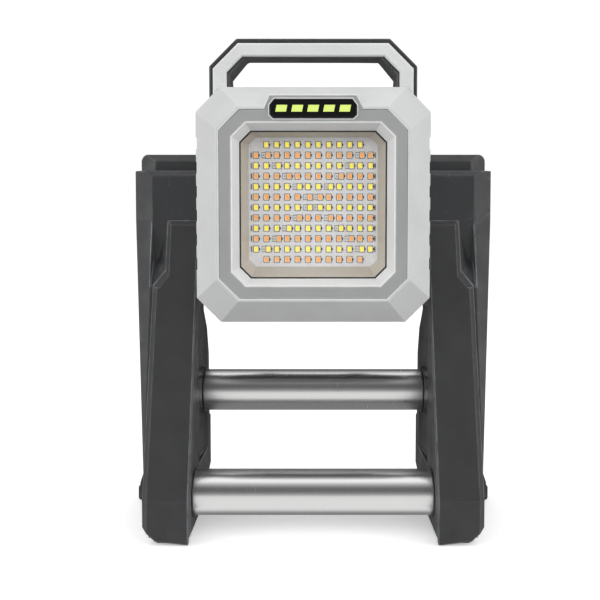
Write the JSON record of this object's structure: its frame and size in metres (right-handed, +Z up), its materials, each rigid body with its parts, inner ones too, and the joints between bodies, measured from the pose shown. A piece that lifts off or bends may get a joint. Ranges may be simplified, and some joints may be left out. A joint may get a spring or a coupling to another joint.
{
  "type": "work light",
  "caption": "Cordless LED flood light with a square tilting head and carry handle on a rigid stand of moulded legs joined by steel tubes; slides onto a tool battery.",
  "frame": {"origin": "on the floor, at the centre of the object's plan outline", "axes": "+X to the right seen from in front of the lens, +Y from the lens towards the battery dock, +Z up"},
  "size_m": [0.22, 0.085, 0.273],
  "materials": {
    "black_nylon": "glass-filled nylon",
    "bright_screw_steel": "zinc plated",
    "bumper_rubber": "soft-touch rubber",
    "bush_steel": "turned",
    "button_rubber": "soft-touch rubber",
    "button_rubber_light": "soft-touch rubber",
    "cast_aluminium": "die cast",
    "charcoal_plastic": "fine moulded grain",
    "clear_lens": "polished polycarbonate",
    "component_black": "moulded epoxy",
    "contact_brass": "tinned spring brass",
    "dark_screw_steel": "black oxide",
    "dock_plastic": "fine moulded grain",
    "foot_rubber": "moulded rubber",
    "gasket_rubber": "silicone",
    "green_board": "green solder mask",
    "indicator_black": "polished",
    "indicator_green": "printed",
    "lead_insulation": "silicone insulation",
    "led_orange": "phosphor under clear silicone",
    "led_yellow": "phosphor under clear silicone",
    "light_plastic": "fine moulded grain",
    "resistor_grey": "ceramic chip",
    "satin_steel": "satin ground",
    "silver_reflector": "metallised, satin",
    "trim_plastic": "fine moulded grain",
    "white_board": "white solder mask on an aluminium board",
    "white_nylon": "natural nylon"
  },
  "bodies": {
    "stand": {"front_tube": "satin_steel", "left_cover_screws": "dark_screw_steel", "left_friction_washer": "white_nylon", "left_heel_pad": "foot_rubber", "left_leg_body": "charcoal_plastic", "left_leg_bumper": "bumper_rubber", "left_leg_cover": "charcoal_plastic", "left_pivot_bolt": "dark_screw_steel", "left_toe_pad": "foot_rubber", "left_tube_screws": "dark_screw_steel", "rear_tube": "satin_steel", "right_cover_screws": "dark_screw_steel", "right_friction_washer": "white_nylon", "right_heel_pad": "foot_rubber", "right_leg_body": "charcoal_plastic", "right_leg_bumper": "bumper_rubber", "right_leg_cover": "charcoal_plastic", "right_pivot_bolt": "dark_screw_steel", "right_toe_pad": "foot_rubber", "right_tube_screws": "dark_screw_steel", "tube_plugs": "black_nylon"},
    "head": {"battery_dock": "dock_plastic", "bezel": "light_plastic", "board_screws": "bright_screw_steel", "contacts": "contact_brass", "cool_leds": "led_yellow", "dock_screws": "bright_screw_steel", "driver_board": "green_board", "driver_components": "component_black", "handle_plate": "light_plastic", "handle_screws": "bright_screw_steel", "handle_shell": "charcoal_plastic", "heat_sink": "cast_aluminium", "housing_screws": "bright_screw_steel", "indicator_segments": "indicator_green", "indicator_window": "indicator_black", "leads": "lead_insulation", "led_board": "white_board", "lens": "clear_lens", "lens_frame": "light_plastic", "lens_gasket": "gasket_rubber", "pivot_bushes": "bush_steel", "post_screws": "bright_screw_steel", "rear_housing": "charcoal_plastic", "reflector": "silver_reflector", "resistors": "resistor_grey", "switch_board": "green_board", "tact_switches": "component_black", "terminal_block": "black_nylon", "trim_ring": "trim_plastic", "warm_leds": "led_orange"},
    "power_button": {"power_button": "button_rubber"},
    "colour_button": {"colour_button": "button_rubber_light"}
  },
  "joints": [
    {"name": "head_tilt", "type": "hinge", "parent": "stand", "child": "head", "pos_m": [0, 0.0195, 0.182], "axis": [1, 0, 0], "range_deg": [-90, 90]},
    {"name": "power_press", "type": "slide", "parent": "head", "child": "power_button", "axis": [0, -1, 0], "range_m": [0, 0.001], "stiffness_N_per_m": 1500},
    {"name": "colour_press", "type": "slide", "parent": "head", "child": "colour_button", "axis": [0, -1, 0], "range_m": [0, 0.001], "stiffness_N_per_m": 1500}
  ]
}
